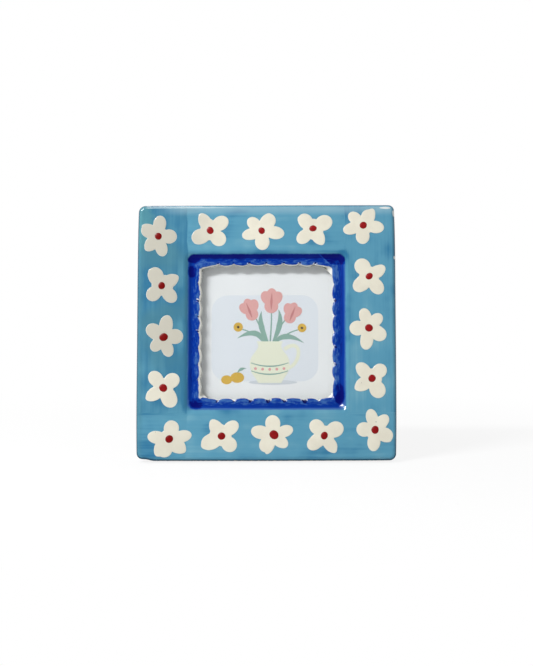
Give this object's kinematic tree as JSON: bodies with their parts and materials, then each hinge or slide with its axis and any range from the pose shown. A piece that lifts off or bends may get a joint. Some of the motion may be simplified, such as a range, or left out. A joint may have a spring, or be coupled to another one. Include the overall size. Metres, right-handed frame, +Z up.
{
  "type": "ceramic photo frame",
  "caption": "Square glazed ceramic photo frame with a raised flower border, a scalloped window lip, a removable back panel and a hinged easel leg.",
  "frame": {"origin": "on the floor, in the middle of the ground that the standing frame and its open leg cover", "axes": "+Z up, the picture faces -Y and leans back, +X to the viewer's right"},
  "size_m": [0.16, 0.0684, 0.156],
  "materials": {
    "blue_glaze": "gloss, brushed on in watery strokes",
    "cream_slip": "gloss over raised slip",
    "red_slip": "gloss over raised slip",
    "clear_glass": "clear",
    "printed_card": "matt",
    "grey_board": "matt",
    "black_board": "flocked fibreboard",
    "brown_board": "bare fibreboard",
    "zinc_steel": "zinc plated"
  },
  "bodies": {
    "frame": {"ceramic_frame": "blue_glaze", "glass_pane": "clear_glass", "picture_card": "printed_card", "filler_card": "grey_board", "back_panel": "black_board", "back_strip_top": "brown_board", "back_strip_bottom": "brown_board", "back_strip_left": "brown_board", "back_strip_right": "brown_board", "button_screw_left_upper": "zinc_steel", "button_screw_left_lower": "zinc_steel", "button_screw_right_upper": "zinc_steel", "button_screw_right_lower": "zinc_steel", "hinge_leaf_panel": "zinc_steel", "hinge_pin": "zinc_steel", "panel_rivet_left": "zinc_steel", "panel_rivet_right": "zinc_steel", "petals_top_1": "cream_slip", "petals_top_2": "cream_slip", "petals_top_3": "cream_slip", "petals_top_4": "cream_slip", "petals_top_5": "cream_slip", "petals_right_1": "cream_slip", "petals_right_2": "cream_slip", "petals_right_3": "cream_slip", "petals_bottom_1": "cream_slip", "petals_bottom_2": "cream_slip", "petals_bottom_3": "cream_slip", "petals_bottom_4": "cream_slip", "petals_bottom_5": "cream_slip", "petals_left_1": "cream_slip", "petals_left_2": "cream_slip", "petals_left_3": "cream_slip", "eye_top_1": "red_slip", "eye_top_2": "red_slip", "eye_top_3": "red_slip", "eye_top_4": "red_slip", "eye_top_5": "red_slip", "eye_right_1": "red_slip", "eye_right_2": "red_slip", "eye_right_3": "red_slip", "eye_bottom_1": "red_slip", "eye_bottom_2": "red_slip", "eye_bottom_3": "red_slip", "eye_bottom_4": "red_slip", "eye_bottom_5": "red_slip", "eye_left_1": "red_slip", "eye_left_2": "red_slip", "eye_left_3": "red_slip"},
    "leg": {"easel_leg": "black_board", "hinge_leaf_leg": "zinc_steel", "leg_rivet_left": "zinc_steel", "leg_rivet_right": "zinc_steel"},
    "button_left_upper": {"turn_button_left_upper": "zinc_steel"},
    "button_left_lower": {"turn_button_left_lower": "zinc_steel"},
    "button_right_upper": {"turn_button_right_upper": "zinc_steel"},
    "button_right_lower": {"turn_button_right_lower": "zinc_steel"}
  },
  "joints": [
    {"name": "leg_hinge", "type": "hinge", "parent": "frame", "child": "leg", "pos_m": [0, 0.00826, 0.10222], "axis": [1, 0, 0], "range_deg": [-27, 0]},
    {"name": "button_left_upper_turn", "type": "hinge", "parent": "frame", "child": "button_left_upper", "pos_m": [-0.0524, 0.00579, 0.09975], "axis": [0, -0.9703, 0.2419], "continuous": true},
    {"name": "button_left_lower_turn", "type": "hinge", "parent": "frame", "child": "button_left_lower", "pos_m": [-0.0524, -0.00631, 0.05123], "axis": [0, -0.9703, 0.2419], "continuous": true},
    {"name": "button_right_upper_turn", "type": "hinge", "parent": "frame", "child": "button_right_upper", "pos_m": [0.0524, 0.00579, 0.09975], "axis": [0, -0.9703, 0.2419], "continuous": true},
    {"name": "button_right_lower_turn", "type": "hinge", "parent": "frame", "child": "button_right_lower", "pos_m": [0.0524, -0.00631, 0.05123], "axis": [0, -0.9703, 0.2419], "continuous": true}
  ]
}
